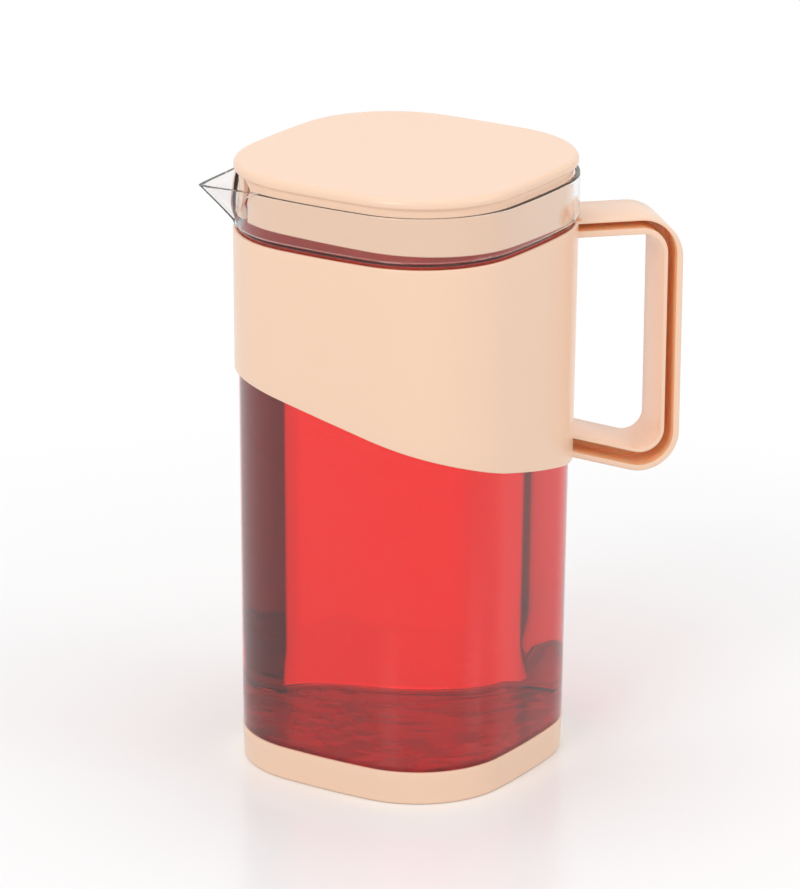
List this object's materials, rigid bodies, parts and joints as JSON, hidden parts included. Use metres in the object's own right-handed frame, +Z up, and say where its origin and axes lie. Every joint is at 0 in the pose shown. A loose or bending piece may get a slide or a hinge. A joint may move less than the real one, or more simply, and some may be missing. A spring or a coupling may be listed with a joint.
{
  "type": "pitcher",
  "caption": "Rounded-square clear plastic pitcher with a folded pour spout, an opaque sleeve with a moulded handle, a base cap and a lift-off lid.",
  "frame": {"origin": "centre of the base cap's underside, on the axis of the jug", "axes": "+Z up out of the mouth, +X towards the handle, -X towards the spout, Y across; mirror-symmetric about the XZ plane"},
  "size_m": [0.1858, 0.133, 0.24],
  "materials": {
    "clear_plastic": "clear, polished",
    "peach_plastic": "opaque, semi-gloss"
  },
  "bodies": {
    "pitcher": {"jug": "clear_plastic", "handle_sleeve": "peach_plastic", "base_cap": "peach_plastic"},
    "lid": {"lid": "peach_plastic"}
  },
  "joints": [
    {"name": "lid_lift", "type": "slide", "parent": "pitcher", "child": "lid", "axis": [0, 0, 1], "range_m": [0, 0.06]}
  ]
}
